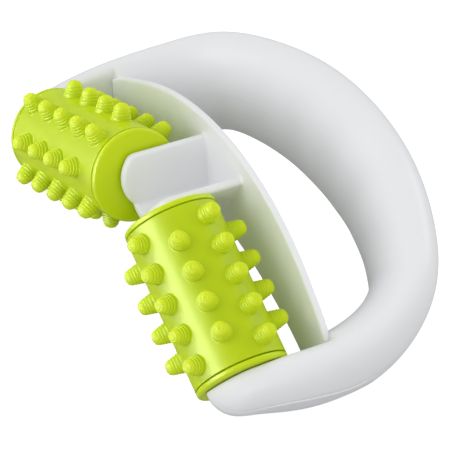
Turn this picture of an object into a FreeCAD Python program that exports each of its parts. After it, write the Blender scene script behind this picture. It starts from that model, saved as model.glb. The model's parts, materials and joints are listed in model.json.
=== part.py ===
import FreeCAD, Part
import math
import os
from FreeCAD import Matrix, Vector

# Hand-held massage roller: a closed grip ring, a cross bridge with a two-plate yoke,
# and two nubbed rollers that spread outwards and droop like a shallow roof.
# Frame: millimetres, +X across the rollers, +Y from the rollers to the grip, +Z up.
# The dimensions below are measured from a point on the mirror plane, on the plane of both
# roller axes, level with their inner ends. The finished pieces are then moved so that the
# origin is the centre of the grip section at the middle of the back, where the hand closes.
# "right" is the +X side and "left" the -X side, as seen looking along +Y.

# ---------------------------------------------------------------- driving dimensions
roller_length = 60.0
roller_radius = 16.1
roller_droop_deg = 24.3          # each axis falls this much towards its outer end
axis_inner_x = 10.8              # inner end of each roller axis, from the mirror plane
end_gap = 0.8                    # roller end to yoke plate, and roller end to arm

nub_base_radius = 3.4
nub_height = 5.5
nub_tiers = ((1.0, 0.22), (0.93, 0.40), (0.86, 0.58))    # radius share, top height share
nub_shoulder = 0.18              # rounding at the top of each tier
nub_dome_share = 0.79            # radius share of the domed tip
nub_pitch = 11.0                 # spacing of nubs along a row
nub_first = 8.0                  # first nub of a five-nub row, from the inner end
nub_rows = 8                     # rows alternate five nubs and four nubs
nub_root_depth = 1.0             # how far a nub runs into the sleeve
right_row_deg = 17.0             # a five-nub row, from the front (-Y) towards the top
left_row_deg = 57.5

axle_radius = 2.0
running_clearance = 0.05
axle_yoke_depth = 2.2            # blind socket in the yoke plate
axle_arm_depth = 6.0             # blind socket in the arm
axle_chamfer = 0.3
socket_end_play = 0.1
socket_fit = 0.02                # radial gap around a pin end in its socket

bush_radius = 3.5
bush_length = 6.0
washer_radius = 5.0
washer_thickness = 0.6
washer_clearance = 0.1

cap_flange = 2.0                 # width of the visible end flange
cap_groove = 0.4                 # shadow groove between flange and sleeve
cap_groove_depth = 1.2
cap_edge_round = 1.0
cap_spigot = 4.0
cap_hub_wall = 2.0               # around the bush
cap_hub_floor = 1.0              # behind the bush
cap_axle_clearance = 0.5         # radial gap around the axle in the hub floor
core_outer = 12.4
core_wall = 2.4

bridge_front_y = 25.8
bridge_thickness = 2.6
bridge_back_y = bridge_front_y + bridge_thickness
bridge_top_z = 15.7
bridge_top_radius = 98.5         # arch of the top edge
bridge_bottom_z = -14.8
bridge_bottom_radius = 144.4
bridge_edge_round = 0.8
bridge_reach = 72.0              # half span before it is trimmed by the arms

yoke_thickness = 3.0
yoke_half_height = 8.85
yoke_nose_radius = 11.55
yoke_nose_centre_y = 4.6
yoke_nose_corner = 4.0           # rounding where the nose meets the straight edges
yoke_edge_round = 1.1
trough_front_y = -3.4            # front edge of the floor that joins the two plates
trough_floor_z = -6.4            # upper face of the floor
trough_sag = 2.0                 # how far the floor's underside bows below the plates
trough_overlap = 2.4             # how far the floor runs into each plate
trough_side_inset = 0.3          # floor edge inside the plate's outer face
trough_side_rise = 0.8           # floor edge above the plate's lower edge

shell_wall = 2.6
parting_clearance = 0.035        # from the parting plane to each half's parting face
arm_solid_to_y = 9.0             # the arms are solid around the axle sockets

# Grip ring, right half, from the arm to the middle of the back.
# Each station: x, y, z of the centre line, outer and inner half thickness, half height.
grip_stations = [
    (66.8, -2.0, -25.0, 10.0, 8.4, 12.4),
    (69.3, 16.0, -26.5, 10.2, 7.6, 16.6),
    (70.0, 28.0, -26.9, 10.4, 7.0, 18.25),
    (69.7, 37.0, -26.3, 10.5, 9.2, 18.9),
    (66.4, 52.7, -22.1, 10.5, 10.5, 18.9),
    (58.9, 64.4, -15.8, 10.6, 10.6, 18.8),
    (43.3, 72.7, -10.4, 11.5, 11.5, 19.9),
    (26.4, 77.4, -7.3, 12.2, 12.2, 21.3),
    (0.0, 79.6, -5.4, 12.6, 12.6, 22.3),
]
part_origin = Vector(*grip_stations[-1][:3])
nose_length = 12.3               # rounded front end of each arm, beyond its first station
nose_height_power = 1.5          # the nose keeps its height longer than an ellipse would
nose_height_root = 0.7
nose_steps = (0.3, 0.55, 0.75, 0.88, 0.96, 0.995)
grip_sections = 26               # lofted sections along the whole ring

screw_shank_radius = 1.45
screw_hole_radius = 1.5
screw_clear_radius = 1.7
screw_head_radius = 2.9
screw_head_height = 2.0
screw_length = 15.0
screw_hole_depth = 12.0          # pilot hole in the upper shell, above the parting face
screw_recess_radius = 1.2
screw_recess_depth = 1.1
screw_seat_depth = 5.0           # head seat, below the parting face
counterbore_radius = 3.2
boss_radius = 4.8
plug_radius = 3.15
plug_length = 3.0
screw_stations = (0.118, 0.26, 0.40)     # fraction of the ring from an arm's front station

tongue_half_height = 1.5
tongue_front_y = 26.4
tongue_reach = 10.5              # beyond the arm's flat inner face
tongue_neck = 2.9                # length of the narrow part that passes through the arm's wall
tongue_fit = 0.1

overrun = 1.0                    # how far a cutting shape runs past the face it opens
well_overrun = 5.0               # the same, past the curved underside of the grip
bay_half_width = 60.0            # size of the space cut between the arms
bay_overlap = 8.0                # how far each side's cut runs past the mirror plane
small = 1e-6                     # lengths under this count as zero


# ---------------------------------------------------------------- frames and helpers
droop = math.radians(roller_droop_deg)
left_axis = Vector(-math.cos(droop), 0, -math.sin(droop))
left_up = Vector(-math.sin(droop), 0, math.cos(droop))
front = Vector(0, -1, 0)


def placement(origin, x_dir, y_dir, z_dir):
    """Rigid placement from an origin and three unit directions."""
    return FreeCAD.Placement(Matrix(
        x_dir.x, y_dir.x, z_dir.x, origin.x,
        x_dir.y, y_dir.y, z_dir.y, origin.y,
        x_dir.z, y_dir.z, z_dir.z, origin.z,
        0, 0, 0, 1))


# In roller coordinates x points to the front, y up and z outwards along the axis.
left_roller_frame = placement(Vector(-axis_inner_x, 0, 0), front, left_up, left_axis)


def mirrored(shape):
    return shape.mirror(Vector(0, 0, 0), Vector(1, 0, 0))


def on_side(shape, side):
    """Puts a shape built in roller coordinates on the left (-1) or right (+1) side."""
    placed = shape.copy()
    placed.transformShape(left_roller_frame.toMatrix())
    return placed if side < 0 else mirrored(placed)


def cylinder(radius, start, end):
    return Part.makeCylinder(radius, end - start, Vector(0, 0, start))


def tube(outer, inner, start, end):
    return cylinder(outer, start, end).cut(cylinder(inner, start - overrun, end + overrun))


def block(x_range, y_range, z_range):
    corner = Vector(x_range[0], y_range[0], z_range[0])
    return Part.makeBox(x_range[1] - x_range[0], y_range[1] - y_range[0],
                        z_range[1] - z_range[0], corner)


def fused(shapes):
    return shapes[0].multiFuse(shapes[1:]).removeSplitter()


# ---------------------------------------------------------------- roller pieces
def nub():
    """One stepped nub standing on the sleeve along +X: three rounded tiers and a domed tip."""
    root = roller_radius - nub_root_depth
    edges = [Part.makeLine(Vector(root, 0, 0), Vector(root, nub_base_radius, 0))]
    here = Vector(root, nub_base_radius, 0)
    turn = nub_shoulder * (1 - math.sqrt(0.5))
    for radius_share, height_share in nub_tiers:
        radius = nub_base_radius * radius_share
        top = roller_radius + nub_height * height_share
        foot = Vector(here.x, radius, 0)
        if here.y - radius > small:
            edges.append(Part.makeLine(here, foot))
        wall_top = Vector(top - nub_shoulder, radius, 0)
        corner = Vector(top - turn, radius - turn, 0)
        here = Vector(top, radius - nub_shoulder, 0)
        edges.append(Part.makeLine(foot, wall_top))
        edges.append(Part.Arc(wall_top, corner, here).toShape())
    tip_x = roller_radius + nub_height
    dome_radius = nub_base_radius * nub_dome_share
    dome_foot = Vector(here.x, dome_radius, 0)
    if here.y - dome_radius > small:
        edges.append(Part.makeLine(here, dome_foot))
    dome = Part.BSplineCurve()
    poles = [dome_foot, Vector(tip_x, dome_radius, 0), Vector(tip_x, 0, 0)]
    dome.buildFromPolesMultsKnots(poles, [3, 3], [0, 1], False, 2, [1, math.sqrt(0.5), 1])
    edges.append(dome.toShape())
    edges.append(Part.makeLine(Vector(tip_x, 0, 0), Vector(root, 0, 0)))
    return Part.Face(Part.Wire(edges)).revolve(Vector(0, 0, 0), Vector(1, 0, 0), 360)


def roller_sleeve(first_row_deg):
    """Soft sleeve with eight rows of nubs, five and four nubs in turn."""
    start = cap_flange + cap_groove
    sleeve = tube(roller_radius, core_outer, start, roller_length - start)
    one_nub = nub()
    nubs = []
    for row in range(nub_rows):
        count = 5 if row % 2 == 0 else 4
        first = nub_first if row % 2 == 0 else nub_first + nub_pitch / 2
        for index in range(count):
            stud = one_nub.copy()
            stud.translate(Vector(0, 0, first + nub_pitch * index))
            stud.rotate(Vector(0, 0, 0), Vector(0, 0, 1), first_row_deg + row * 360 / nub_rows)
            nubs.append(stud)
    return fused([sleeve] + nubs)


def roller_core():
    start = cap_flange + cap_groove
    return tube(core_outer, core_outer - core_wall, start, roller_length - start)


def roller_cap():
    """Inner end cap: flange with a chamfered rim, groove shoulder, spigot and bush hub."""
    flange = cylinder(roller_radius, 0, cap_flange)
    rim = [edge for edge in flange.Edges if edge.Closed and edge.BoundBox.ZMax < cap_flange / 2]
    flange = flange.makeFillet(cap_edge_round, rim)
    root = cap_flange / 2
    seat = cap_flange + cap_groove
    hub_end = bush_length + cap_hub_floor
    shoulder = cylinder(roller_radius - cap_groove_depth, root, seat)
    spigot = tube(core_outer - core_wall, core_outer - 2 * core_wall, root, seat + cap_spigot)
    hub = cylinder(bush_radius + cap_hub_wall, root, hub_end)
    cap = fused([flange, shoulder, spigot, hub])
    cap = cap.cut(cylinder(bush_radius, -overrun, bush_length))
    return cap.cut(cylinder(axle_radius + cap_axle_clearance, 0, hub_end + overrun))


def roller_bush():
    return tube(bush_radius, axle_radius + running_clearance, 0, bush_length)


def far_end(shape):
    """The same piece turned round for the outer end of the roller."""
    turned = shape.copy()
    turned.rotate(Vector(0, 0, roller_length / 2), Vector(1, 0, 0), 180)
    return turned


def axle():
    start = -end_gap - axle_yoke_depth
    end = roller_length + end_gap + axle_arm_depth
    pin = cylinder(axle_radius, start, end)
    return pin.makeChamfer(axle_chamfer, [edge for edge in pin.Edges if edge.Closed])


def thrust_washers():
    """One washer against the yoke plate and one against the arm."""
    bore = axle_radius + washer_clearance
    inner = tube(washer_radius, bore, -end_gap, -end_gap + washer_thickness)
    return Part.Compound([inner, far_end(inner)])


# ---------------------------------------------------------------- grip ring
def ring_curves():
    """Centre line, and two curves that carry the section sizes and the section tilt."""
    right = [Vector(*station[:3]) for station in grip_stations]
    sizes = [station[3:] for station in grip_stations]
    travelled = [0.0]
    for before, after in zip(right, right[1:]):
        travelled.append(travelled[-1] + before.distanceToPoint(after))
    half = travelled[-1]
    points = right + [Vector(-p.x, p.y, p.z) for p in reversed(right[:-1])]
    sizes = sizes + list(reversed(sizes[:-1]))
    along = [d / (2 * half) for d in travelled]
    along = along + [1 - t for t in reversed(along[:-1])]
    curves = []
    tilts = [Vector(1 - 2 * t, 0, t) for t in along]
    for values in (points, [Vector(*size) for size in sizes], tilts):
        curve = Part.BSplineCurve()
        curve.interpolate(Points=values, Parameters=along)
        curves.append(curve)
    return curves


ring_spine, ring_size, ring_tilt = ring_curves()


def ring_frame(t):
    """Point, then outward, forward and upward directions, at a fraction of the ring."""
    point = ring_spine.value(t)
    along = ring_spine.tangent(t)[0]
    along.normalize()
    up = Vector(math.tan(droop) * ring_tilt.value(t).x, 0, 1)
    up = up - along * up.dot(along)
    up.normalize()
    return point, along.cross(up), along, up


def quarter_ellipse(centre, side, crown, side_length, crown_length):
    """Quarter ellipse from the side point to the crown point, as an exact rational curve."""
    curve = Part.BSplineCurve()
    poles = [centre + side * side_length,
             centre + side * side_length + crown * crown_length,
             centre + crown * crown_length]
    curve.buildFromPolesMultsKnots(poles, [3, 3], [0, 1], False, 2, [1, math.sqrt(0.5), 1])
    return curve.toShape()


def half_section(t, nose_step, sign):
    """Closed upper (+1) or lower (-1) half of the ring's section; the nose tapers past each end."""
    point, outward, along, up = ring_frame(t)
    size = ring_size.value(t)
    crown = up * sign
    centre = point + along * (nose_step * nose_length) + crown * parting_clearance
    shrink = math.sqrt(1 - nose_step ** 2)
    height = size.z * (1 - abs(nose_step) ** nose_height_power) ** nose_height_root
    outer = quarter_ellipse(centre, outward, crown, size.x * shrink, height)
    inner = quarter_ellipse(centre, -outward, crown, size.y * shrink, height)
    chord = Part.makeLine(inner.Vertexes[0].Point, outer.Vertexes[0].Point)
    return Part.Wire([outer, inner, chord])


def ring_half(sign):
    """Upper (+1) or lower (-1) half of the grip ring and arms, as one smooth solid loft."""
    wires = [half_section(index / grip_sections, 0, sign) for index in range(grip_sections + 1)]
    for step in nose_steps:
        wires.insert(0, half_section(0.0, -step, sign))
        wires.append(half_section(1.0, step, sign))
    return Part.makeLoft(wires, True, False)


def whole_section(t, inset):
    """Closed outline of the ring's whole section, drawn in by an inset."""
    point, outward, _, up = ring_frame(t)
    size = ring_size.value(t)
    height = size.z - inset
    quarters = []
    for side, crown, length in ((outward, up, size.x), (-outward, up, size.y),
                                (-outward, -up, size.y), (outward, -up, size.x)):
        quarters.append(quarter_ellipse(point, side, crown, length - inset, height))
    return Part.Wire(quarters)


def ring_cavity():
    """Hollow inside both shells: clear of the solid arms, the roller bay, bridge and bosses."""
    start = fraction_at_y(arm_solid_to_y)
    span = 1 - 2 * start
    wires = [whole_section(start + span * index / grip_sections, shell_wall)
             for index in range(grip_sections + 1)]
    cavity = Part.makeLoft(wires, True, False)
    cavity = cavity.cut(roller_bay(end_gap + shell_wall, bridge_back_y + shell_wall))
    for point, up, height in screw_axes():
        cavity = cavity.cut(along_up(boss_radius, point, up, -height, height))
    return cavity


def fraction_at_y(y):
    """Fraction of the ring, on the right arm, where the centre line passes a given y."""
    low, high = 0.0, 0.5
    while high - low > small:
        middle = (low + high) / 2
        if ring_spine.value(middle).y < y:
            low = middle
        else:
            high = middle
    return low


def roller_bay(reach, back_y):
    """Space between the arms' flat inner faces, in front of the bridge."""
    wide = (-bay_half_width, bay_half_width)
    bay = block((-back_y, bay_half_width), wide, (-axis_inner_x - bay_overlap, roller_length + reach))
    return fused([on_side(bay, -1), on_side(bay, 1)])


def screw_axes():
    """Point, upward direction and half height at each shell screw."""
    axes = []
    for t in screw_stations:
        for fraction in (t, 1 - t):
            point, _, _, up = ring_frame(fraction)
            axes.append((point, up, ring_size.value(fraction).z))
    return axes


def along_up(radius, point, up, start, end):
    return Part.makeCylinder(radius, end - start, point + up * start, up)


def axle_sockets():
    start = -end_gap - axle_yoke_depth - socket_end_play
    end = roller_length + end_gap + axle_arm_depth + socket_end_play
    socket = cylinder(axle_radius + socket_fit, start, end)
    return [on_side(socket, -1), on_side(socket, 1)]


def tongue(side, grow):
    """Flat tongue of the bridge inside one arm, split evenly by the parting face."""
    screw_point = ring_frame(screw_stations[0])[0]
    height = (-tongue_half_height - grow, tongue_half_height + grow)
    front = -tongue_front_y + grow
    pad_back = -screw_point.y - boss_radius - grow
    neck_back = -tongue_front_y - bridge_thickness / 2 - grow
    arm_face = roller_length + end_gap
    pad_reach = (arm_face + tongue_neck - grow, arm_face + tongue_reach + grow)
    pad = block((pad_back, front), height, pad_reach)
    neck = block((neck_back, front), height, (arm_face - overrun, arm_face + tongue_reach))
    return on_side(fused([pad, neck]), side)


def handle_shell(sign, outer_half, cavity):
    """Upper (+1) or lower (-1) half shell of the grip ring and arms."""
    shell = outer_half.cut(cavity)
    shell = shell.cut(roller_bay(end_gap, bridge_back_y))
    for socket in axle_sockets():
        shell = shell.cut(socket)
    for side in (-1, 1):
        shell = shell.cut(tongue(side, tongue_fit))
    for point, up, height in screw_axes():
        if sign > 0:
            shell = shell.cut(along_up(screw_hole_radius, point, up, -overrun, screw_hole_depth))
        else:
            bottom = -height - well_overrun
            shell = shell.cut(along_up(screw_clear_radius, point, up, -height, overrun))
            shell = shell.cut(along_up(counterbore_radius, point, up, bottom, -screw_seat_depth))
    return shell


def shell_screws():
    seat = -screw_seat_depth
    bottom = seat - screw_head_height
    screws = []
    for point, up, _ in screw_axes():
        head = along_up(screw_head_radius, point, up, bottom, seat)
        shank = along_up(screw_shank_radius, point, up, seat, seat + screw_length)
        recess = along_up(screw_recess_radius, point, up, bottom - overrun, bottom + screw_recess_depth)
        screws.append(head.fuse(shank).cut(recess).removeSplitter())
    return Part.Compound(screws)


def screw_plugs(lower_half):
    """Plugs that close the screw wells, flush with the underside of the grip."""
    plugs = []
    for point, up, height in screw_axes():
        plug = along_up(plug_radius, point, up, -height - well_overrun, -height + plug_length)
        plugs.append(plug.common(lower_half))
    return Part.Compound(plugs)


# ---------------------------------------------------------------- bridge and yoke
def bridge_wall():
    """Arched wall across the ring, between two circular edges."""
    def arch_point(x, crown_z, radius):
        return Vector(x, bridge_front_y, crown_z - radius + math.sqrt(radius ** 2 - x ** 2))

    top = [arch_point(x, bridge_top_z, bridge_top_radius) for x in (-bridge_reach, 0, bridge_reach)]
    bottom = [arch_point(x, bridge_bottom_z, bridge_bottom_radius)
              for x in (bridge_reach, 0, -bridge_reach)]
    outline = Part.Wire([Part.Arc(*top).toShape(), Part.makeLine(top[2], bottom[0]),
                         Part.Arc(*bottom).toShape(), Part.makeLine(bottom[2], top[0])])
    wall = Part.Face(outline).extrude(Vector(0, bridge_thickness, 0))
    long_edges = [edge for edge in wall.Edges if edge.BoundBox.XLength > bridge_reach]
    return wall.makeFillet(bridge_edge_round, long_edges)


def yoke_plate():
    """Plate square to one roller axis, with a rounded front end, in roller coordinates."""
    tip_x = yoke_nose_radius - yoke_nose_centre_y
    bend_x = math.sqrt(yoke_nose_radius ** 2 - yoke_half_height ** 2) - yoke_nose_centre_y
    back_x = -bridge_front_y - bridge_thickness / 2
    z = -end_gap - yoke_thickness
    upper_back = Vector(back_x, yoke_half_height, z)
    upper_bend = Vector(bend_x, yoke_half_height, z)
    lower_bend = Vector(bend_x, -yoke_half_height, z)
    lower_back = Vector(back_x, -yoke_half_height, z)
    outline = Part.Wire([
        Part.makeLine(upper_back, upper_bend),
        Part.Arc(upper_bend, Vector(tip_x, 0, z), lower_bend).toShape(),
        Part.makeLine(lower_bend, lower_back),
        Part.makeLine(lower_back, upper_back)])
    plate = Part.Face(outline).extrude(Vector(0, 0, yoke_thickness))
    bends = [edge for edge in plate.Edges
             if edge.BoundBox.ZLength > yoke_thickness / 2 and edge.BoundBox.XMin > back_x + small]
    plate = plate.makeFillet(yoke_nose_corner, bends)
    rims = [edge for edge in plate.Edges
            if edge.BoundBox.ZLength < small and edge.BoundBox.XMax > back_x + small]
    return plate.makeFillet(yoke_edge_round, rims)


def trough_floor():
    """Floor between the lower edges of the two plates, bowed underneath."""
    def plate_corner(z):
        corner = Vector(0, -yoke_half_height, z)
        return left_roller_frame.multVec(corner)

    outer = plate_corner(-end_gap - yoke_edge_round)
    inner = plate_corner(-end_gap - yoke_thickness)
    y = trough_front_y
    left_low = Vector(outer.x, y, outer.z)
    right_low = Vector(-outer.x, y, outer.z)
    middle_low = Vector(0, y, outer.z - trough_sag)
    left_top = Vector(inner.x - trough_overlap, y, trough_floor_z)
    left_side = Vector(outer.x - trough_side_inset, y, outer.z + trough_side_rise)
    right_top = Vector(-left_top.x, y, left_top.z)
    right_side = Vector(-left_side.x, y, left_side.z)
    outline = Part.Wire([
        Part.Arc(left_low, middle_low, right_low).toShape(),
        Part.makeLine(right_low, right_side),
        Part.makeLine(right_side, right_top),
        Part.makeLine(right_top, left_top),
        Part.makeLine(left_top, left_side),
        Part.makeLine(left_side, left_low)])
    depth = bridge_front_y + bridge_thickness / 2 - y
    return Part.Face(outline).extrude(Vector(0, depth, 0))


def bridge_yoke():
    """One moulding: bridge wall, two yoke plates, trough floor and the tongues in the arms."""
    wall = bridge_wall().common(roller_bay(end_gap, bridge_back_y + overrun))
    pieces = [wall, trough_floor()]
    for side in (-1, 1):
        pieces.append(on_side(yoke_plate(), side))
        pieces.append(tongue(side, 0))
    body = fused(pieces)
    for socket in axle_sockets():
        body = body.cut(socket)
    for point, up, _ in screw_axes()[:2]:
        body = body.cut(along_up(screw_clear_radius, point, up, -screw_seat_depth, screw_seat_depth))
    return body


# ---------------------------------------------------------------- build and write
def build():
    cavity = ring_cavity()
    lower_half = ring_half(-1)
    parts = {
        "handle_upper_shell": handle_shell(1, ring_half(1), cavity),
        "handle_lower_shell": handle_shell(-1, lower_half, cavity),
        "bridge_yoke": bridge_yoke(),
        "shell_screws": shell_screws(),
        "screw_plugs": screw_plugs(lower_half),
    }
    for name, side, row_deg in (("right", 1, right_row_deg), ("left", -1, left_row_deg)):
        roller_parts = {
            "roller_sleeve": roller_sleeve(row_deg),
            "roller_core": roller_core(),
            "inner_end_cap": roller_cap(),
            "outer_end_cap": far_end(roller_cap()),
            "inner_bush": roller_bush(),
            "outer_bush": far_end(roller_bush()),
            "axle": axle(),
            "thrust_washers": thrust_washers(),
        }
        for part_name, shape in roller_parts.items():
            parts[name + "_" + part_name] = on_side(shape, side)
    return parts


os.makedirs("parts", exist_ok=True)
for node, shape in build().items():
    shape.translate(-part_origin)
    print(node, "solids", len(shape.Solids), "valid", shape.isValid(), "volume", round(shape.Volume, 1))
    shape.exportStep("parts/" + node + ".step")
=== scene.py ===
import json
import math
import bmesh
import bpy
import numpy as np
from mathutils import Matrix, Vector


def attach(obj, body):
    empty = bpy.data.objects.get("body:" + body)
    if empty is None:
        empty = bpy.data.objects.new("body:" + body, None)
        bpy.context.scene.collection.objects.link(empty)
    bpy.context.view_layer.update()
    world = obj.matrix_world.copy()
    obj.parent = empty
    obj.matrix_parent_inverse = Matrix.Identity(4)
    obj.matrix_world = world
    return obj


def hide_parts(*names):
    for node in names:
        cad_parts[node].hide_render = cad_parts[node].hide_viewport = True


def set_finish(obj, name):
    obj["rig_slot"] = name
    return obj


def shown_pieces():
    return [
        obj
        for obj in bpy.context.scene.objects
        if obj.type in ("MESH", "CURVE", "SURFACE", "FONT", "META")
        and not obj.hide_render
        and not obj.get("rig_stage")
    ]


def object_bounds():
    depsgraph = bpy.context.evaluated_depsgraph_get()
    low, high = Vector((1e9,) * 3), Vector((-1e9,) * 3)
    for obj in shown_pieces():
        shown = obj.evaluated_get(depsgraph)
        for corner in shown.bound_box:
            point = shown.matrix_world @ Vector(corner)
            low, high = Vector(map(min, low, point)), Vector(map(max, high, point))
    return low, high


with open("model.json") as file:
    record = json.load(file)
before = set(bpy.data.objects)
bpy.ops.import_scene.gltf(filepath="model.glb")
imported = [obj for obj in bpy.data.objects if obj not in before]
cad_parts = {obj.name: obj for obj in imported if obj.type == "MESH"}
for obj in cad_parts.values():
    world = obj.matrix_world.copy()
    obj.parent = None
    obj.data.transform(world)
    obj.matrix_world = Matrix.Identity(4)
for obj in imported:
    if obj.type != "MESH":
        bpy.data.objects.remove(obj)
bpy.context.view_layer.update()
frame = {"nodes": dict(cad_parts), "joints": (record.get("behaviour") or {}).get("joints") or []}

# Lengths are in millimetres until a mesh is written: +X across the rollers, +Y from the rollers
# to the grip, +Z up, measured from the point between the inner ends of the roller axes.
# part_origin is the CAD part's own origin in these coordinates.
MM = 0.001

# ---------------------------------------------------------------- sizes of the part
# They follow the CAD part, but for a wider cap groove with a thinner flange, a smaller gap
# between rollers and arms, and grip stations that are fuller on the inner side of the arms.
joints = {joint["name"]: joint for joint in frame["joints"]}
right_joint = joints["right_roller_spin"]
axis_start = np.array((10.8, 0.0, 0.0))      # inner end of the right roller's axis
part_origin = axis_start - np.array(right_joint["pos_m"]) / MM
axis_dir = np.array(right_joint["axis"]) / np.linalg.norm(right_joint["axis"])
droop = math.atan2(-axis_dir[2], axis_dir[0])
front_dir = np.array([0.0, -1.0, 0.0])
up_dir = np.cross(front_dir, axis_dir)

roller_length = 60.0
roller_radius = 16.1
arm_gap = 0.4
arm_face = roller_length + arm_gap           # the arms' flat inner faces, along a roller axis
cap_flange = 1.85
cap_groove = 0.55
cap_groove_depth = 1.2
core_radius = 12.4
core_wall = 2.4
bush_radius = 3.5
bush_length = 6.0

nub_radius = 3.4
nub_height = 5.5
nub_tiers = ((1.0, 0.22), (0.93, 0.40), (0.86, 0.58))    # radius share, top height share
nub_dome_share = 0.79            # radius share of the domed tip
dome_rings = 3                   # faint moulded rings on the domed tip
dome_ring_height = 0.10
nub_pitch = 11.0
nub_first = 8.0
nub_rows = 8
nub_attribute = "nub_height"
first_row_deg = {"right": 17.0, "left": 57.5}

bridge_front_y = 25.8
bridge_back_y = 28.4

# Grip ring, right half, from the arm to the middle of the back.
# Each station: x, y, z of the centre line, outer and inner half thickness, half height.
grip_stations = [
    (66.8, -2.0, -25.0, 10.0, 8.4, 12.4),
    (69.3, 16.0, -26.5, 10.2, 8.4, 16.6),
    (70.0, 28.0, -26.9, 10.4, 9.5, 18.25),
    (69.7, 37.0, -26.3, 10.5, 10.2, 18.9),
    (66.4, 52.7, -22.1, 10.5, 10.5, 18.9),
    (58.9, 64.4, -15.8, 10.6, 10.6, 18.8),
    (43.3, 72.7, -10.4, 11.5, 11.5, 19.9),
    (26.4, 77.4, -7.3, 12.2, 12.2, 21.3),
    (0.0, 79.6, -5.4, 12.6, 12.6, 22.3),
]
nose_length = 12.3                       # rounded front end of each arm
nose_height_power = 1.5                  # the nose keeps its height longer than an ellipse would
nose_height_root = 0.7
screw_stations = (0.118, 0.26, 0.40)     # fraction of the ring from an arm's front station
well_radius = 3.2
well_depth = 5.0                         # from the parting face down to the screw head's seat

# ---------------------------------------------------------------- sizes of the visible detail
ring_steps = 300                         # sections along the ring
nose_rings = 22                          # sections along each nose
section_steps = 44                       # points from the parting face over the crown and back
parting_round = 0.3                      # rounding of the outer parting edge on the arms
parting_gap = 0.01                       # from the parting plane to each half's face
parting_hairline = 0.02                  # rounding of the parting edges elsewhere
parting_height_share = 0.3               # the rounding's largest share of the section's height
parting_edge_share = 0.3                 # the edge's corner is cut by this share of the rounding
parting_end_y = 42.0                     # the parting line's rounding ends here
parting_fade = 8.0
parting_rise = 4.0                       # on the arms' outer sides the parting line runs this high
rise_front_y = -14.0                     # the rise grows from here to rise_full_y, and fades
rise_full_y = 12.0                       # out between rise_fade_y and rise_end_y
rise_fade_y = 22.0
rise_end_y = 58.0
crease = 0.75                            # how sharply the lower half turns under at the parting
crease_end = 1.3                         # radians below the parting face where this ends
crease_front_y = 12.0                    # the crease grows from the nose to here
lower_lip = 0.45                         # the lower half stands this much proud of the upper one
flat_edge_blend = 0.8                    # softens the edges of the arms' flat inner faces
flat_end_blend = 1.2                     # length of the step from flat face to full grip
slim_share = 0.72                        # how narrow the inner side is in front of the bridge
slim_front_y = 4.0                       # the narrowing grows from here to the bridge
bridge_top_z = 15.7                      # crown of the bridge's top edge, an arc of this radius
bridge_top_radius = 98.5
bridge_lift = 1.8                        # rise of the bridge's top edge at the arms
bridge_lift_x = 54.0                     # the rise starts here and is full after this length
bridge_lift_length = 18.0
bridge_lift_depth = 12.0                 # the rise fades out this far below the top edge
groove_depth = 0.5                       # finger grooves along the inner side of the ring
groove_pitch = 21.0
groove_reach = 3.2                       # the finger grooves end this many pitches from the middle
groove_start_lean = 0.25                 # where on the section they begin, 1 is the inner side
ring_end_share = 0.3                     # the flat faces end within this share of the ring
end_steps = 6                            # extra sections where they end
well_overshoot = 5.0                     # the well cutter reaches this far out of the shell
weld_distance = 0.002                    # points closer than this become one
sliver_distance = 0.0005                 # edges shorter than this are removed
rod_segments = 64
cap_segments = 192
bridge_voxel = 0.38                      # mesh size of the bridge's skin
bridge_soften = 0.5                      # smoothing of that skin, and how often it is applied
bridge_soften_passes = 6
bridge_wall_margin = 0.5                 # in front of the bridge wall, points still count as wall
shell_sharp_deg = 50                     # edges of the lower half over this angle shade as sharp

# Finer shape of the nubs.
nub_foot = 0.35                          # fillet where a nub meets the sleeve
nub_settle = 1.2                         # up to this height a nub follows the sleeve's curve
nub_settle_power = 0.8
skin_rings = (0.0, 0.25, 0.5, 0.75, 0.9)    # rings of sleeve between a cell's border and its nub
tier_round = 0.36                        # largest rounding of a tier's upper edge
tier_round_share = 0.62                  # and its largest share of the tier's height
tier_round_squash = 0.8                  # how much narrower than high it is
tier_waist = 0.02                        # a tier's wall draws in by this much half way up
tier_groove = 0.07                       # depth and height of the fine groove over each tier
tier_groove_top = 0.05                   # its depth at its upper edge
tier_groove_rise = 0.01
dome_squareness = 0.75                   # below 1 the domed tip is flatter than a ball
dome_angles_deg = (8, 84)
dome_steps = 20
dome_ring_fade = 8                       # the rings fade out at the dome's rim
tint_start = 0.3                         # the painted highlight on the nubs, a paler tint, starts at this height
tint_power = 0.6


# ---------------------------------------------------------------- mesh helpers
def add_piece(name, points, faces, body, slot, replaced=()):
    """Makes a smooth-shaded closed mesh from millimetre points and puts it on a body."""
    mesh = bpy.data.meshes.new(name)
    mesh.from_pydata([tuple((p - part_origin) * MM) for p in points], [], faces)
    return adopt_mesh(name, mesh, body, slot, replaced)


def adopt_mesh(name, mesh, body, slot, replaced=()):
    """Cleans a mesh, makes it a smooth-shaded piece and puts it on a body."""
    tidy = bmesh.new()
    tidy.from_mesh(mesh)
    bmesh.ops.remove_doubles(tidy, verts=tidy.verts, dist=weld_distance * MM)
    bmesh.ops.dissolve_degenerate(tidy, edges=tidy.edges, dist=sliver_distance * MM)
    bmesh.ops.recalc_face_normals(tidy, faces=tidy.faces)
    tidy.to_mesh(mesh)
    tidy.free()
    mesh.polygons.foreach_set("use_smooth", [True] * len(mesh.polygons))
    piece = bpy.data.objects.new(name, mesh)
    bpy.context.scene.collection.objects.link(piece)
    piece.data.materials.append(materials[slot])
    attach(piece, body)
    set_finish(piece, slot)
    if replaced:
        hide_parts(*replaced)
    return piece


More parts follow.
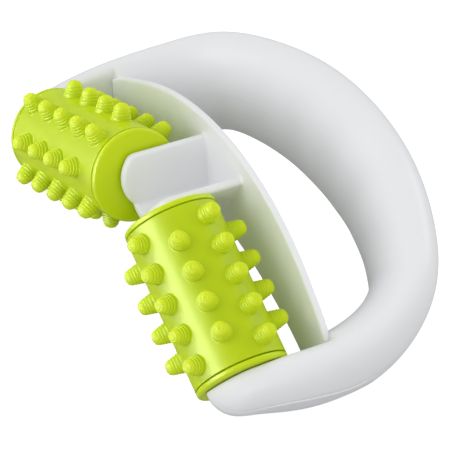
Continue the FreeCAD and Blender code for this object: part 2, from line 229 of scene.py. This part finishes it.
def grid_faces(rows, columns, closed_rows=False, closed_columns=False):
    """Quads of a grid of points stored row by row."""
    faces = []
    for i in range(rows if closed_rows else rows - 1):
        for j in range(columns if closed_columns else columns - 1):
            a = i * columns + j
            b = i * columns + (j + 1) % columns
            c = (i + 1) % rows * columns + (j + 1) % columns
            d = (i + 1) % rows * columns + j
            faces.append((a, b, c, d))
    return faces


def to_frame(points, side):
    """Roller coordinates (front, up, along the axis) to the row frame, on one side."""
    points = np.asarray(points, float)
    placed = (axis_start + points[:, :1] * front_dir + points[:, 1:2] * up_dir
              + points[:, 2:3] * axis_dir)
    if side == "left":
        placed[:, 0] = -placed[:, 0]
    return placed


def arc(centre, radius, start_deg, end_deg, steps):
    """Points of a circular arc, as (radius, height) pairs for a lathe outline."""
    angles = np.radians(np.linspace(start_deg, end_deg, steps + 1))
    return [(centre[0] + radius * math.cos(a), centre[1] + radius * math.sin(a)) for a in angles]


def lathe(outline, segments):
    """Turns a closed (radius, along) outline round the roller axis."""
    points = []
    for k in range(segments):
        a = 2 * math.pi * k / segments
        for radius, along in outline:
            points.append((radius * math.cos(a), radius * math.sin(a), along))
    return np.array(points), grid_faces(segments, len(outline), True, True)


# ---------------------------------------------------------------- materials
def new_material(name):
    material = bpy.data.materials.new(name)
    material.use_nodes = True
    nodes = material.node_tree.nodes
    return material, nodes, material.node_tree.links, nodes["Principled BSDF"]


def noise(nodes, links, coordinates, scale, detail=3.0):
    """Noise texture over the piece; scale counts its features per metre."""
    texture = nodes.new("ShaderNodeTexNoise")
    texture.inputs["Scale"].default_value = scale
    texture.inputs["Detail"].default_value = detail
    links.new(coordinates.outputs["Object"], texture.inputs["Vector"])
    return texture


def vary_colour(nodes, links, factor, low, high):
    """Mixes two colours by a texture's value and returns the mix node's colour output."""
    mix = nodes.new("ShaderNodeMix")
    mix.data_type = "RGBA"
    mix.inputs[6].default_value = (*low, 1)
    mix.inputs[7].default_value = (*high, 1)
    links.new(factor, mix.inputs[0])
    return mix.outputs[2]


def vary_value(nodes, links, factor, low, high):
    span = nodes.new("ShaderNodeMapRange")
    span.inputs["To Min"].default_value = low
    span.inputs["To Max"].default_value = high
    links.new(factor, span.inputs["Value"])
    return span.outputs["Result"]


def bump(nodes, links, height, strength, distance):
    node = nodes.new("ShaderNodeBump")
    node.inputs["Strength"].default_value = strength
    node.inputs["Distance"].default_value = distance
    links.new(height, node.inputs["Height"])
    return node.outputs["Normal"]


def moulded_plastic(name, low, high, roughness, texture_size, soft, shine=0.5):
    """Moulded plastic or rubber: faint cloudy colour, fine surface texture, soft light inside."""
    material, nodes, links, shader = new_material(name)
    coordinates = nodes.new("ShaderNodeTexCoord")
    clouds = noise(nodes, links, coordinates, scale=45.0)
    grain = noise(nodes, links, coordinates, scale=1.0 / texture_size, detail=2.0)
    smears = noise(nodes, links, coordinates, scale=160.0, detail=4.0)
    colour = vary_colour(nodes, links, clouds.outputs["Fac"], low, high)
    links.new(colour, shader.inputs["Base Color"])
    spread = 0.05
    rough = vary_value(nodes, links, smears.outputs["Fac"], roughness - spread, roughness + spread)
    links.new(rough, shader.inputs["Roughness"])
    normal = bump(nodes, links, grain.outputs["Fac"], strength=0.12, distance=0.00006)
    links.new(normal, shader.inputs["Normal"])
    shader.inputs["Specular IOR Level"].default_value = shine
    shader.inputs["Subsurface Weight"].default_value = soft
    shader.inputs["Subsurface Radius"].default_value = (1.0, 1.0, 0.8)
    shader.inputs["Subsurface Scale"].default_value = 0.0015
    return material


def paint_tip_highlight(material, colour):
    """Painted highlight: a paler colour towards the tips of the nubs, where they catch the light, and
    rougher rubber there.
    """
    nodes, links = material.node_tree.nodes, material.node_tree.links
    base = nodes["Principled BSDF"].inputs["Base Color"]
    plain = base.links[0].from_socket
    roughness = nodes["Principled BSDF"].inputs["Roughness"]
    height = nodes.new("ShaderNodeAttribute")
    height.attribute_name = nub_attribute
    dull = nodes.new("ShaderNodeMath")
    dull.operation = "MULTIPLY_ADD"
    tip_extra_roughness = 0.25
    dull.inputs[1].default_value = tip_extra_roughness
    links.new(height.outputs["Fac"], dull.inputs[0])
    links.new(roughness.links[0].from_socket, dull.inputs[2])
    links.new(dull.outputs["Value"], roughness)
    # the paler colour mixed in by height is a painted highlight on the nub tips
    mix = nodes.new("ShaderNodeMix")
    mix.data_type = "RGBA"
    mix.inputs[7].default_value = (*colour, 1)
    links.new(height.outputs["Fac"], mix.inputs[0])
    links.new(plain, mix.inputs[6])
    links.new(mix.outputs[2], base)


def brushed_steel(name):
    material, nodes, links, shader = new_material(name)
    coordinates = nodes.new("ShaderNodeTexCoord")
    stretch = nodes.new("ShaderNodeMapping")
    stretch.inputs["Scale"].default_value = (60.0, 2500.0, 2500.0)
    links.new(coordinates.outputs["Object"], stretch.inputs["Vector"])
    streaks = nodes.new("ShaderNodeTexNoise")
    streaks.inputs["Scale"].default_value = 1.0
    links.new(stretch.outputs["Vector"], streaks.inputs["Vector"])
    colour = vary_colour(nodes, links, streaks.outputs["Fac"], (0.52, 0.53, 0.55), (0.68, 0.69, 0.7))
    links.new(colour, shader.inputs["Base Color"])
    rough = vary_value(nodes, links, streaks.outputs["Fac"], 0.22, 0.4)
    links.new(rough, shader.inputs["Roughness"])
    shader.inputs["Metallic"].default_value = 1.0
    return material


def make_materials():
    return {
        "white_plastic": moulded_plastic(
            "white_plastic", low=(0.808, 0.811, 0.822), high=(0.838, 0.841, 0.852),
            roughness=0.36, texture_size=0.0005, soft=0.06),
        "lime_rubber": moulded_plastic(
            "lime_rubber", low=(0.455, 0.590, 0.001), high=(0.485, 0.620, 0.003),
            roughness=0.38, texture_size=0.00035, soft=0.05, shine=0.2),
        "lime_plastic": moulded_plastic(
            "lime_plastic", low=(0.530, 0.670, 0.006), high=(0.560, 0.700, 0.009),
            roughness=0.30, texture_size=0.0005, soft=0.04, shine=0.2),
        "core_plastic": moulded_plastic(
            "core_plastic", low=(0.42, 0.43, 0.42), high=(0.48, 0.49, 0.48),
            roughness=0.5, texture_size=0.0006, soft=0.0),
        "bush_plastic": moulded_plastic(
            "bush_plastic", low=(0.66, 0.65, 0.60), high=(0.72, 0.71, 0.66),
            roughness=0.4, texture_size=0.0004, soft=0.0),
        "steel": brushed_steel("steel"),
    }


materials = make_materials()
# painted highlight: paler colour on the nub tips
paint_tip_highlight(materials["lime_rubber"], (0.60, 0.73, 0.012))


# ---------------------------------------------------------------- rollers
def nub_outline():
    """One nub's outline, (radius, height) from its foot on the sleeve to the middle of its tip."""
    outline = arc((nub_radius + nub_foot, nub_foot), nub_foot, 270, 180, 4)
    height = nub_foot
    for tier, (radius_share, height_share) in enumerate(nub_tiers):
        radius = nub_radius * radius_share
        top = nub_height * height_share
        if tier < len(nub_tiers) - 1:
            next_radius = nub_radius * nub_tiers[tier + 1][0]
        else:
            next_radius = nub_radius * nub_dome_share
        bead = min(tier_round, (top - height) * tier_round_share)
        outline.append((radius - tier_waist, height + (top - height - bead) / 2))
        for a in np.radians((0, 20, 40, 60, 78, 90)):
            inwards = bead * (1 - math.cos(a)) * tier_round_squash
            outline.append((radius - inwards, top - bead + bead * math.sin(a)))
        outline.append((next_radius - tier_groove, top + tier_groove_rise))
        height = top + tier_groove
        outline.append((next_radius - tier_groove_top, height))
    dome_radius = nub_radius * nub_dome_share
    for a in np.radians(np.linspace(*dome_angles_deg, dome_steps)):
        spread = math.cos(a) ** dome_squareness
        wave = math.cos(2 * math.pi * dome_rings * spread) * (1 - spread ** dome_ring_fade)
        rise = (nub_height - height) * math.sin(a) + dome_ring_height * wave
        outline.append((dome_radius * spread, height + rise))
    return outline


def nub_cell(row_angle, centre_s, per_side, outline):
    """Skin of one nub and the sleeve round it: a rectangle of sleeve, then rings up the nub."""
    half_turn = math.pi / nub_rows
    around = per_side * 4
    corners = []
    for k in range(around):
        side, step = divmod(k, per_side)
        f = 2 * step / per_side - 1
        corners.append(((1, f), (-f, 1), (-1, -f), (f, -1))[side])
    border = np.array([(f * half_turn, centre_s + g * nub_pitch / 2) for f, g in corners])
    turn = np.radians(-45 + 360 * np.arange(around) / around)
    foot_radius = outline[0][0]
    foot_x = foot_radius * np.cos(turn)
    foot = np.stack([np.arcsin(foot_x / roller_radius), centre_s + foot_radius * np.sin(turn)], 1)
    rings = []
    for f in skin_rings:
        spot = border * (1 - f) + foot * f
        rings.append(np.stack([roller_radius * np.sin(spot[:, 0]), spot[:, 1],
                               roller_radius * np.cos(spot[:, 0])], 1))
    for radius, height in outline:
        x = radius * np.cos(turn)
        hold = min(1.0, max(0.0, 1 - height / nub_settle)) ** nub_settle_power
        drop = (np.sqrt(roller_radius ** 2 - x ** 2) - roller_radius) * hold
        rings.append(np.stack([x, centre_s + radius * np.sin(turn),
                               roller_radius + height + drop], 1))
    tip = np.array([[0.0, centre_s, roller_radius + nub_height]])
    points = np.vstack(rings + [tip])
    faces = grid_faces(len(rings), around, False, True)
    last = (len(rings) - 1) * around
    faces += [(last + k, last + (k + 1) % around, len(points) - 1) for k in range(around)]
    return turn_about_axis(points, row_angle), faces


def turn_about_axis(points, angle):
    """(tangent, along, radial) points of a row to roller coordinates (front, up, along)."""
    tangent, along, radial = points.T
    return np.stack([radial * math.cos(angle) - tangent * math.sin(angle),
                     radial * math.sin(angle) + tangent * math.cos(angle), along], 1)


def sleeve_strip(row_angle, per_side, profile):
    """Strip of sleeve as wide as one row, through (radius, along) profile points."""
    half_turn = math.pi / nub_rows
    points = []
    for radius, along in profile:
        for k in range(per_side + 1):
            a = half_turn * (2 * k / per_side - 1)
            points.append((radius * math.sin(a), along, radius * math.cos(a)))
    return turn_about_axis(np.array(points), row_angle), grid_faces(len(profile), per_side + 1)


def sleeve_mesh(start_deg):
    """Closed sleeve: nubbed outside, rounded ends and plain bore. Rows of five and of four nubs
    take turns; the short rows have plain sleeve at both ends."""
    per_side = 16
    start = cap_flange + cap_groove
    end = roller_length - start
    first_edge = nub_first - nub_pitch / 2
    edge_round = first_edge - start
    outline = nub_outline()
    rim = [(core_radius, 0.0)]
    rim += [(roller_radius - edge_round * (1 - math.sin(a)), edge_round * (1 - math.cos(a)))
            for a in np.radians((0, 30, 60, 90))]
    step = nub_pitch / per_side
    points, faces = [], []

    def add(new):
        base = sum(len(p) for p in points)
        points.append(new[0])
        faces.extend(tuple(base + i for i in face) for face in new[1])

    for row in range(nub_rows):
        angle = math.radians(start_deg + row * 360 / nub_rows)
        count = 5 - row % 2
        first = nub_first + (row % 2) * nub_pitch / 2
        for index in range(count):
            add(nub_cell(angle, first + nub_pitch * index, per_side, outline))
        spare_steps = row % 2 * per_side // 2
        spare = [(roller_radius, first_edge + step * k) for k in range(1, spare_steps + 1)]
        low = [(radius, start + along) for radius, along in rim] + spare
        high = [(radius, roller_length - along) for radius, along in low]
        add(sleeve_strip(angle, per_side, low))
        add(sleeve_strip(angle, per_side, high))
        add(sleeve_strip(angle, per_side, [(core_radius, start), (core_radius, end)]))
    return np.vstack(points), faces


def mark_nubs(piece, side):
    """Stores how far each point stands above the sleeve, 0 on the sleeve and 1 at a nub's tip."""
    mesh = piece.data
    points = np.zeros(len(mesh.vertices) * 3)
    mesh.vertices.foreach_get("co", points)
    points = points.reshape(-1, 3) / MM + part_origin
    if side == "left":
        points[:, 0] = -points[:, 0]
    from_axis = np.linalg.norm(np.cross(points - axis_start, axis_dir), axis=1)
    tint_span = nub_height - tint_start
    share = np.clip((from_axis - roller_radius - tint_start) / tint_span, 0, 1)
    height = mesh.attributes.new(nub_attribute, "FLOAT", "POINT")
    height.data.foreach_set("value", share ** tint_power)


def cap_mesh():
    """Inner end cap: flange with rounded edges, groove, spigot and bush hub."""
    rim = 1.0                            # rounding of the flange's outer edge
    lip = 0.15                           # rounding of its edge beside the groove
    chamfer = 0.25                       # round the bush's bore
    face_radii = (8.0, roller_radius - rim - 0.6)
    spigot_outer = core_radius - core_wall
    spigot_inner = spigot_outer - core_wall
    hub_outer = bush_radius + 2.0
    hub_end = bush_length + 1.0
    axle_hole = 2.5
    seat = cap_flange + cap_groove
    spigot_end = seat + 4.0
    disc_back = 1.0 + cap_flange / 2
    groove_floor = roller_radius - cap_groove_depth
    outline = [(bush_radius, chamfer), (bush_radius + chamfer, 0.0)]
    outline += [(radius, 0.0) for radius in face_radii]
    outline += arc((roller_radius - rim, rim), rim, 270, 360, 8)
    outline += arc((roller_radius - lip, cap_flange - lip), lip, 0, 90, 3)
    outline += [(groove_floor, cap_flange), (groove_floor, seat)]
    outline += [(spigot_outer, seat), (spigot_outer, spigot_end), (spigot_inner, spigot_end)]
    outline += [(spigot_inner, disc_back), (hub_outer, disc_back), (hub_outer, hub_end)]
    outline += [(axle_hole, hub_end), (axle_hole, bush_length), (bush_radius, bush_length)]
    return lathe(outline, cap_segments)


def make_rollers():
    for side in ("right", "left"):
        body = side + "_roller"
        points, faces = sleeve_mesh(first_row_deg[side])
        sleeve = add_piece(side + "_nubbed_sleeve", to_frame(points, side), faces, body,
                           "lime_rubber", (side + "_roller_sleeve",))
        mark_nubs(sleeve, side)
        points, faces = cap_mesh()
        add_piece(side + "_inner_cap", to_frame(points, side), faces, body, "lime_plastic",
                  (side + "_inner_end_cap",))
        points = points * (1, 1, -1) + (0, 0, roller_length)
        add_piece(side + "_outer_cap", to_frame(points, side), faces, body, "lime_plastic",
                  (side + "_outer_end_cap",))


# ---------------------------------------------------------------- grip ring
def smooth_curve(knots, values):
    """Cubic curve through the values at the knots, with continuous bending; returns a function."""
    knots = np.array(knots)
    values = np.array(values, float)
    n = len(knots)
    gaps = np.diff(knots)
    slopes = np.diff(values, axis=0) / gaps[:, None]
    matrix = np.zeros((n, n))
    known = np.zeros_like(values)
    for i in range(1, n - 1):
        matrix[i, i - 1] = gaps[i]
        matrix[i, i] = 2 * (gaps[i - 1] + gaps[i])
        matrix[i, i + 1] = gaps[i - 1]
        known[i] = 3 * (gaps[i] * slopes[i - 1] + gaps[i - 1] * slopes[i])
    for end, picked in ((0, (0, 1, 2, 3)), (n - 1, (-1, -2, -3, -4))):
        matrix[end, end] = 1
        powers = np.vander(knots[list(picked)] - knots[end], 4, increasing=True)
        known[end] = np.linalg.solve(powers, values[list(picked)])[1]
    tangents = np.linalg.solve(matrix, known)

    def at(t):
        i = int(np.clip(np.searchsorted(knots, t) - 1, 0, n - 2))
        h = gaps[i]
        x = (t - knots[i]) / h
        return ((2 * x ** 3 - 3 * x ** 2 + 1) * values[i] + (x ** 3 - 2 * x ** 2 + x) * h * tangents[i]
                + (3 * x ** 2 - 2 * x ** 3) * values[i + 1] + (x ** 3 - x ** 2) * h * tangents[i + 1])
    return at


def ring_curves():
    """Centre line and section sizes as functions of the fraction round the ring."""
    right = np.array(grip_stations)
    left = right[-2::-1] * (-1, 1, 1, 1, 1, 1)
    stations = np.vstack([right, left])
    steps = np.linalg.norm(np.diff(right[:, :3], axis=0), axis=1)
    travelled = np.concatenate([[0], np.cumsum(steps)]) / (2 * steps.sum())
    knots = np.concatenate([travelled, 1 - travelled[-2::-1]])
    return smooth_curve(knots, stations), 2 * steps.sum()


ring_at, ring_length = ring_curves()


def ring_frame(t):
    """Centre, then outward, forward and upward directions, and the three section sizes."""
    values = ring_at(t)
    low, high = max(t - 1e-4, 0), min(t + 1e-4, 1)
    along = ring_at(high)[:3] - ring_at(low)[:3]
    along = along / np.linalg.norm(along)
    up = np.array([math.tan(droop) * (1 - 2 * t), 0, 1])
    up = up - along * up.dot(along)
    up = up / np.linalg.norm(up)
    return values[:3], np.cross(along, up), along, up, values[3:]


def smooth_floor(value, limit, blend):
    """The larger of value and limit, eased where they meet."""
    ease = np.maximum(blend - np.abs(value - limit), 0) / blend
    return np.maximum(value, limit) + ease ** 2 * blend / 4


def trim_flat(points):
    """Presses the arms' inner sides onto the flat faces beside the rollers, up to the bridge."""
    side = np.where(points[:, 0] < 0, -1.0, 1.0)
    outwards = np.stack([axis_dir[0] * side, 0 * side, axis_dir[2] + 0 * side], 1)
    start = np.stack([axis_start[0] * side, 0 * side, 0 * side], 1)
    reach = ((points - start) * outwards).sum(1)
    pressed = smooth_floor(reach, arm_face, flat_edge_blend)
    share = np.clip((points[:, 1] - bridge_back_y) / flat_end_blend + 1, 0, 1)
    share = 1 - share * share * (3 - 2 * share)
    return points + outwards * ((pressed - reach) * share)[:, None]


def finger_groove(t, lean):
    """How far the inner side is drawn in at a place round the ring; lean is 0 at the crown and
    1 on the inner side."""
    place = (t - 0.5) * ring_length
    wave = 0.5 - 0.5 * math.cos(2 * math.pi * (place / groove_pitch + 0.5))
    window = max(0.0, 1 - (abs(place) / (groove_reach * groove_pitch)) ** 4)
    inwards = np.clip((lean - groove_start_lean) / (1 - groove_start_lean), 0, 1)
    return groove_depth * wave * window * inwards ** 1.5


def parting_width(y, height):
    """Rounding of the outer parting edge: full on the arms, fading to a hairline on the ring."""
    spread = parting_round - parting_hairline
    return min(parting_hairline + spread * parting_share(y),
               parting_height_share * height)


def parting_share(y):
    """How clearly the parting line shows: 1 on the arms, 0 on the back of the ring."""
    return np.clip((parting_end_y - y) / parting_fade, 0, 1)


def crease_share(y):
    """How strongly the crease under the parting line shows: none on the noses and the back."""
    return parting_share(y) * np.clip(y / crease_front_y, 0, 1)


def rise_share(y):
    """How far the outer parting line has risen above the middle of the section."""
    return float(np.interp(y, (rise_front_y, rise_full_y, rise_fade_y, rise_end_y), (0, 1, 1, 0)))


def slimming(y):
    """Share of the inner half thickness that is left beside the flat faces."""
    grow = np.clip((y - slim_front_y) / (bridge_front_y - slim_front_y), 0, 1)
    back = np.clip((y - bridge_front_y) / (bridge_back_y - bridge_front_y), 0, 1)
    return 1 - (1 - slim_share) * grow * (1 - back * back * (3 - 2 * back))


def ring_section(t, step, sign):
    """Closed outline of the upper (+1) or lower (-1) half at one place; step tapers the noses."""
    centre, outward, along, up, (outer, inner, height) = ring_frame(t)
    centre = centre + along * step * nose_length
    shrink = math.sqrt(1 - step ** 2)
    full_height = height
    height = height * (1 - abs(step) ** nose_height_power) ** nose_height_root
    soft = parting_width(centre[1], height)
    rise = parting_rise * rise_share(centre[1]) * height / full_height
    first = math.asin((soft + parting_gap) / height) + sign * math.asin(rise / height)
    last = math.pi - math.asin((parting_hairline + parting_gap) / height)
    angles = np.linspace(first, last, section_steps)
    inner = inner * slimming(centre[1])
    across = np.where(np.cos(angles) > 0, outer, inner) * shrink
    if step == 0:
        across = across - finger_groove(t, -np.cos(angles))
    x = across * np.cos(angles)
    if sign < 0:
        turn = np.clip((angles - first) / crease_end, 0, 1)
        x = x - outer * shrink * crease * crease_share(centre[1]) * turn * (1 - turn) ** 2
        x = x + lower_lip * crease_share(centre[1]) * np.clip(np.cos(angles), 0, 1)
    z = height * np.sin(angles)
    edge = parting_edge_share * soft
    face = z[0] - soft
    x = np.concatenate([[x[0] - soft, x[0] - edge], x, [x[-1]]])
    z = np.concatenate([[face, face + edge], z, [parting_gap]])
    return centre + x[:, None] * outward + (z * sign)[:, None] * up


def half_ring_mesh(sign):
    """Upper or lower half of the ring as one closed skin."""
    steps = [math.sin(math.pi / 2 * k / nose_rings) for k in range(nose_rings, 0, -1)]
    steps[0] = (1 + steps[1]) / 2
    sections = [ring_section(0.0, -step, sign) for step in steps]
    sections += [ring_section(t, 0, sign) for t in ring_places()]
    sections += [ring_section(1.0, step, sign) for step in reversed(steps)]
    columns = len(sections[0])
    points = trim_flat(np.vstack(sections))
    faces = grid_faces(len(sections), columns, False, True)
    faces.append(tuple(range(columns)))
    faces.append(tuple(range(len(points) - 1, len(points) - 1 - columns, -1)))
    return points, faces


def ring_places():
    """Fractions round the ring, closer together where the flat faces end."""
    places = list(np.linspace(0, 1, ring_steps + 1))
    for goal in (bridge_back_y - flat_end_blend, bridge_back_y):
        low, high = 0.0, ring_end_share
        while high - low > 1e-7:
            middle = (low + high) / 2
            if ring_at(middle)[1] < goal:
                low = middle
            else:
                high = middle
        places += [low, 1 - low]
    begin, finish = sorted(places[-4:])[:2]
    for k in range(1, end_steps):
        inside = begin + (finish - begin) * k / end_steps
        places += [inside, 1 - inside]
    return sorted(set(places))


def cut_wells(shell):
    """Cuts the six screw wells into the underside of the lower half."""
    cutters = bmesh.new()
    for t in screw_stations:
        for fraction in (t, 1 - t):
            centre, _, _, up, (_, _, height) = ring_frame(fraction)
            seat = centre - up * well_depth
            mouth = centre - up * (height + well_overshoot)
            add_rod(cutters, seat, mouth, well_radius)
    mesh = bpy.data.meshes.new("well_cutters")
    cutters.to_mesh(mesh)
    cutters.free()
    cutter = bpy.data.objects.new("well_cutters", mesh)
    bpy.context.scene.collection.objects.link(cutter)
    cut = shell.modifiers.new("wells", "BOOLEAN")
    cut.operation = "DIFFERENCE"
    cut.solver = "EXACT"
    cut.object = cutter
    bake_modifiers(shell)
    bpy.data.objects.remove(cutter)


def add_rod(target, start, end, radius):
    """Adds a closed round rod to a bmesh, between two millimetre points."""
    axis = Vector(end - start)
    turn = Vector((0, 0, 1)).rotation_difference(axis)
    middle = Vector((start + end) / 2 - part_origin)
    made = bmesh.ops.create_cone(target, cap_ends=True, segments=rod_segments, radius1=radius * MM,
                                 radius2=radius * MM, depth=axis.length * MM)
    for vertex in made["verts"]:
        vertex.co = turn @ vertex.co + middle * MM


def bake_modifiers(piece):
    """Replaces a piece's mesh by the result of its modifiers."""
    depsgraph = bpy.context.evaluated_depsgraph_get()
    made = bpy.data.meshes.new_from_object(piece.evaluated_get(depsgraph))
    piece.modifiers.clear()
    old = piece.data
    piece.data = made
    bpy.data.meshes.remove(old)


def make_grip():
    points, faces = half_ring_mesh(1)
    add_piece("grip_upper_half", points, faces, "frame", "white_plastic", ("handle_upper_shell",))
    points, faces = half_ring_mesh(-1)
    lower = add_piece("grip_lower_half", points, faces, "frame", "white_plastic",
                      ("handle_lower_shell",))
    cut_wells(lower)
    sharpen(lower, shell_sharp_deg)


def sharpen(piece, degrees):
    """Marks edges over an angle as sharp, so that flat and round faces shade apart."""
    piece.data.polygons.foreach_set("use_smooth", [True] * len(piece.data.polygons))
    piece.data.set_sharp_from_angle(angle=math.radians(degrees))


# ---------------------------------------------------------------- bridge and yoke
def make_bridge():
    """The moulded bridge and yoke, with softened edges and inner corners."""
    source = frame["nodes"]["bridge_yoke"]
    mesh = source.data.copy()
    mesh.materials.clear()
    piece = adopt_mesh("bridge_and_yoke", mesh, "frame", "white_plastic", ("bridge_yoke",))
    remesh = piece.modifiers.new("one_skin", "REMESH")
    remesh.mode = "VOXEL"
    remesh.voxel_size = bridge_voxel * MM
    soften = piece.modifiers.new("soften", "SMOOTH")
    soften.factor = bridge_soften
    soften.iterations = bridge_soften_passes
    bake_modifiers(piece)
    lift_bridge_ends(piece.data)
    piece.data.polygons.foreach_set("use_smooth", [True] * len(piece.data.polygons))


def lift_bridge_ends(mesh):
    """Raises the top edge of the bridge where it runs into the arms."""
    points = np.zeros(len(mesh.vertices) * 3)
    mesh.vertices.foreach_get("co", points)
    points = points.reshape(-1, 3) / MM + part_origin
    across = np.clip((np.abs(points[:, 0]) - bridge_lift_x) / bridge_lift_length, 0, 1)
    top = bridge_top_z - bridge_top_radius + np.sqrt(bridge_top_radius ** 2 - points[:, 0] ** 2)
    upwards = np.clip((points[:, 2] - top + bridge_lift_depth) / bridge_lift_depth, 0, 1)
    wall = points[:, 1] > bridge_front_y - bridge_wall_margin
    points[:, 2] += bridge_lift * across ** 2 * (3 - 2 * across) * upwards * wall
    mesh.vertices.foreach_set("co", ((points - part_origin) * MM).ravel())
    mesh.update()


def dress_cad_nodes():
    """Gives every CAD node that stays visible the material of its slot."""
    slots = {
        "roller_core": "core_plastic", "inner_bush": "bush_plastic", "outer_bush": "bush_plastic",
        "axle": "steel", "thrust_washers": "steel", "shell_screws": "steel",
        "screw_plugs": "white_plastic",
    }
    for name, node in frame["nodes"].items():
        if node.hide_render:
            continue
        slot = next(slots[ending] for ending in slots if name.endswith(ending))
        node.data.materials.clear()
        node.data.materials.append(materials[slot])


# ---------------------------------------------------------------- studio
def from_origin(point):
    """A point in metres, from this script's coordinates to the CAD part's own."""
    return Vector(point) - Vector(part_origin) * MM


def area_light(name, place, target, width, height, power):
    """Rectangular light; place, target and sizes are in metres and power in watts."""
    light = bpy.data.lights.new(name, "AREA")
    light.shape = "RECTANGLE"
    light.size = width
    light.size_y = height
    light.energy = power
    lamp = bpy.data.objects.new(name, light)
    bpy.context.scene.collection.objects.link(lamp)
    lamp.location = from_origin(place)
    lamp.rotation_euler = (Vector(target) - Vector(place)).to_track_quat("-Z", "Y").to_euler()
    return lamp


def make_floor():
    """Plain pale floor under the lowest point of the part."""
    material, nodes, links, shader = new_material("floor_paint")
    coordinates = nodes.new("ShaderNodeTexCoord")
    clouds = noise(nodes, links, coordinates, scale=6.0)
    colour = vary_colour(nodes, links, clouds.outputs["Fac"], (0.54,) * 3, (0.58,) * 3)
    links.new(colour, shader.inputs["Base Color"])
    shader.inputs["Roughness"].default_value = 0.9
    shader.inputs["Specular IOR Level"].default_value = 0.1
    shader.inputs["Emission Color"].default_value = (1, 1, 1, 1)
    seen = nodes.new("ShaderNodeLightPath")
    glow = vary_value(nodes, links, seen.outputs["Is Camera Ray"], low=0.0, high=0.80)
    links.new(glow, shader.inputs["Emission Strength"])
    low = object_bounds()[0]
    reach = 6.0
    mesh = bpy.data.meshes.new("floor")
    corners = [(-reach, -reach, low.z), (reach, -reach, low.z), (reach, reach, low.z),
               (-reach, reach, low.z)]
    mesh.from_pydata(corners, [], [(0, 1, 2, 3)])
    floor = bpy.data.objects.new("floor", mesh)
    floor.data.materials.append(material)
    bpy.context.scene.collection.objects.link(floor)
    floor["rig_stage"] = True


def make_light():
    """White surroundings and three soft boxes; a strip and two fills light the lime pieces only."""
    world = bpy.data.worlds.new("studio")
    world.use_nodes = True
    background = world.node_tree.nodes["Background"]
    background.inputs["Color"].default_value = (0.98, 0.99, 1.0, 1)
    background.inputs["Strength"].default_value = 0.78
    bpy.context.scene.world = world
    aim = (0, 0.03, 0)
    area_light("front_soft_box", (-0.2, -1.7, 0.9), aim, 1.2, 1.2, 9.5)
    area_light("back_soft_box", (0.0, 1.8, 0.9), aim, 1.2, 1.2, 6.5)
    area_light("right_soft_box", (1.9, -0.5, 0.12), aim, 0.9, 0.9, 6.2)
    strip = area_light("front_strip", (-0.2, -0.95, 0.06), (0, 0, 0), 1.3, 0.8, 54.0)
    strip.visible_diffuse = False
    left = area_light("left_fill", (-0.8, -0.65, 0.05), (0, 0, 0), 0.8, 0.8, 6.0)
    left.visible_glossy = False
    back = area_light("back_fill", (0.0, 1.0, 0.1), (0, 0, 0), 0.8, 0.8, 2.4)
    back.visible_glossy = False
    rubber = bpy.data.collections.new("lime_pieces")
    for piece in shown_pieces():
        if piece.get("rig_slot") in ("lime_rubber", "lime_plastic"):
            rubber.objects.link(piece)
    for lamp in (strip, left, back):
        lamp.light_linking.receiver_collection = rubber
        lamp.light_linking.blocker_collection = rubber
    bpy.context.scene.view_settings.view_transform = "Standard"


def make_camera():
    """Long lens, looking down at the part from its right front, turned a little on its axis."""
    azimuth = math.radians(51.61)
    elevation = math.radians(41.61)
    roll = math.radians(10.89)
    target = from_origin((0.0193, 0.0170, -0.0025))
    distance = 0.9
    back = Vector((math.sin(azimuth) * math.cos(elevation), -math.cos(azimuth) * math.cos(elevation),
                   math.sin(elevation)))
    camera_data = bpy.data.cameras.new("camera")
    camera_data.sensor_width = 36.0
    camera_data.lens = 218.45
    camera_data.clip_end = 20.0
    camera = bpy.data.objects.new("camera", camera_data)
    bpy.context.scene.collection.objects.link(camera)
    camera.location = target + back * distance
    level = (-back).to_track_quat("-Z", "Y").to_matrix()
    right = level.col[0] * math.cos(roll) + level.col[1] * math.sin(roll)
    up = back.cross(right)
    turned = level.copy()
    turned.col[0] = right
    turned.col[1] = up
    turned.col[2] = back
    camera.rotation_mode = "QUATERNION"
    camera.rotation_quaternion = turned.to_quaternion()
    bpy.context.scene.camera = camera


make_rollers()
make_grip()
make_bridge()
dress_cad_nodes()
make_floor()
make_light()
make_camera()
